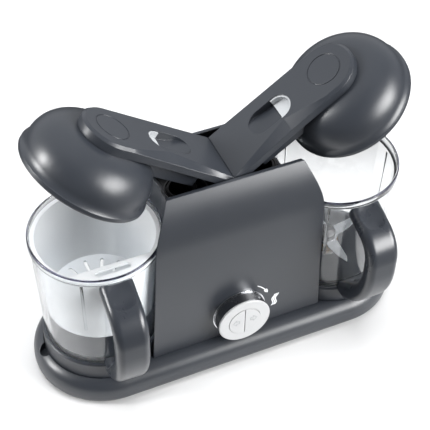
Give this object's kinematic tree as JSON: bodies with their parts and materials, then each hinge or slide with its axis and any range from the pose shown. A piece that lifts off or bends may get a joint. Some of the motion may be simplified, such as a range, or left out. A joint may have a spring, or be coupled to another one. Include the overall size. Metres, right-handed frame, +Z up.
{
  "type": "baby food maker",
  "caption": "Twin steam cooker and blender for baby food: long base, centre body with boilers and drives, clear jugs with handles, and hinged domed lids.",
  "frame": {"origin": "on the table under the middle of the base", "axes": "+X to the right along the base, -Y to the front with the knob and handles, +Z up"},
  "size_m": [0.387, 0.1762, 0.3077],
  "materials": {
    "charcoal_plastic": "satin charcoal with a fine moulded grain",
    "charcoal_gloss": "smooth charcoal with a soft gloss",
    "black_plastic": "matt black",
    "rubber": "matt black rubber",
    "silicone": "soft grey silicone",
    "steel": "brushed stainless steel",
    "heater_metal": "dull cast aluminium",
    "motor_steel": "dull zinc",
    "bronze": "sintered bronze",
    "circuit_board": "green resist",
    "chrome": "polished chrome",
    "light_grey_plastic": "smooth light grey",
    "clear_plastic": "clear and polished",
    "milky_plastic": "milky and half clear",
    "white_plastic": "smooth white",
    "dark_gloss": "polished near-black"
  },
  "bodies": {
    "base": {"base_tray": "charcoal_plastic", "bottom_cover": "black_plastic", "rubber_feet": "rubber", "cover_screws": "steel", "front_shell": "charcoal_plastic", "rear_shell": "charcoal_plastic", "top_deck": "black_plastic", "hinge_bracket": "black_plastic", "hinge_pins": "steel", "left_boiler": "steel", "right_boiler": "steel", "boiler_heaters": "heater_metal", "left_motor": "motor_steel", "right_motor": "motor_steel", "motor_mount": "black_plastic", "left_belt": "rubber", "right_belt": "rubber", "spindle_bushes": "bronze", "control_board": "circuit_board", "rotary_switch": "black_plastic", "dial_ring": "chrome", "cord_gland": "black_plastic"},
    "left_lid": {"left_lid_arm": "charcoal_plastic", "left_lid_dome": "charcoal_plastic", "left_steam_duct": "black_plastic", "left_slot_window": "light_grey_plastic", "left_lid_liner": "light_grey_plastic", "left_lid_gasket": "silicone", "left_duct_seal": "silicone", "left_lid_screws": "steel"},
    "left_jug": {"left_jug_bowl": "clear_plastic", "left_jug_collar": "charcoal_plastic", "left_jug_handle": "charcoal_gloss", "left_blade_bush": "bronze"},
    "left_blade": {"left_blade_hub": "black_plastic", "left_blade_knives": "steel"},
    "left_spindle": {"left_drive_spindle": "black_plastic"},
    "left_rotor": {"left_motor_rotor": "motor_steel"},
    "left_button": {"left_button": "white_plastic"},
    "right_lid": {"right_lid_arm": "charcoal_plastic", "right_lid_dome": "charcoal_plastic", "right_steam_duct": "black_plastic", "right_slot_window": "light_grey_plastic", "right_lid_liner": "light_grey_plastic", "right_lid_gasket": "silicone", "right_duct_seal": "silicone", "right_lid_screws": "steel"},
    "right_jug": {"right_jug_bowl": "clear_plastic", "right_jug_collar": "charcoal_plastic", "right_jug_handle": "charcoal_gloss", "right_blade_bush": "bronze"},
    "right_blade": {"right_blade_hub": "black_plastic", "right_blade_knives": "steel"},
    "right_spindle": {"right_drive_spindle": "black_plastic"},
    "right_rotor": {"right_motor_rotor": "motor_steel"},
    "right_button": {"right_button": "white_plastic"},
    "basket": {"steam_basket": "milky_plastic"},
    "knob": {"knob_barrel": "dark_gloss", "knob_face": "white_plastic"}
  },
  "joints": [
    {"name": "left_lid_hinge", "type": "hinge", "parent": "base", "child": "left_lid", "pos_m": [-0.01077, 0, 0.224], "axis": [0, 1, 0], "range_deg": [-34.6, 45.4]},
    {"name": "left_jug_lift", "type": "slide", "parent": "base", "child": "left_jug", "axis": [0, 0, 1], "range_m": [0, 0.028]},
    {"name": "left_blade_spin", "type": "hinge", "parent": "left_jug", "child": "left_blade", "pos_m": [-0.1235, 0, 0.05], "axis": [0, 0, 1], "continuous": true},
    {"name": "left_spindle_spin", "type": "hinge", "parent": "base", "child": "left_spindle", "pos_m": [-0.1235, 0, 0.02], "axis": [0, 0, 1], "continuous": true},
    {"name": "left_motor_spin", "type": "hinge", "parent": "base", "child": "left_rotor", "pos_m": [-0.03, 0, 0.06], "axis": [0, 0, 1], "continuous": true},
    {"name": "left_button_push", "type": "slide", "parent": "knob", "child": "left_button", "axis": [0, 1, 0], "range_m": [0, 0.002], "stiffness_N_per_m": 600},
    {"name": "right_lid_hinge", "type": "hinge", "parent": "base", "child": "right_lid", "pos_m": [0.01077, 0, 0.224], "axis": [0, -1, 0], "range_deg": [-34.6, 45.4]},
    {"name": "right_jug_lift", "type": "slide", "parent": "base", "child": "right_jug", "axis": [0, 0, 1], "range_m": [0, 0.028]},
    {"name": "right_blade_spin", "type": "hinge", "parent": "right_jug", "child": "right_blade", "pos_m": [0.1235, 0, 0.05], "axis": [0, 0, 1], "continuous": true},
    {"name": "right_spindle_spin", "type": "hinge", "parent": "base", "child": "right_spindle", "pos_m": [0.1235, 0, 0.02], "axis": [0, 0, 1], "continuous": true},
    {"name": "right_motor_spin", "type": "hinge", "parent": "base", "child": "right_rotor", "pos_m": [0.03, 0, 0.06], "axis": [0, 0, 1], "continuous": true},
    {"name": "right_button_push", "type": "slide", "parent": "knob", "child": "right_button", "axis": [0, 1, 0], "range_m": [0, 0.002], "stiffness_N_per_m": 600},
    {"name": "basket_lift", "type": "slide", "parent": "left_jug", "child": "basket", "axis": [0, 0, 1], "range_m": [0, 0.028]},
    {"name": "knob_turn", "type": "hinge", "parent": "base", "child": "knob", "pos_m": [0, -0.06, 0.062], "axis": [0, 1, 0], "range_deg": [-45, 45], "stiffness_Nm_per_rad": 0.05}
  ],
  "couplings": [
    {"joint": "left_spindle_spin", "follows": "left_motor_spin", "ratio": 0.5},
    {"joint": "left_blade_spin", "follows": "left_motor_spin", "ratio": 0.5},
    {"joint": "right_spindle_spin", "follows": "right_motor_spin", "ratio": 0.5},
    {"joint": "right_blade_spin", "follows": "right_motor_spin", "ratio": 0.5}
  ]
}
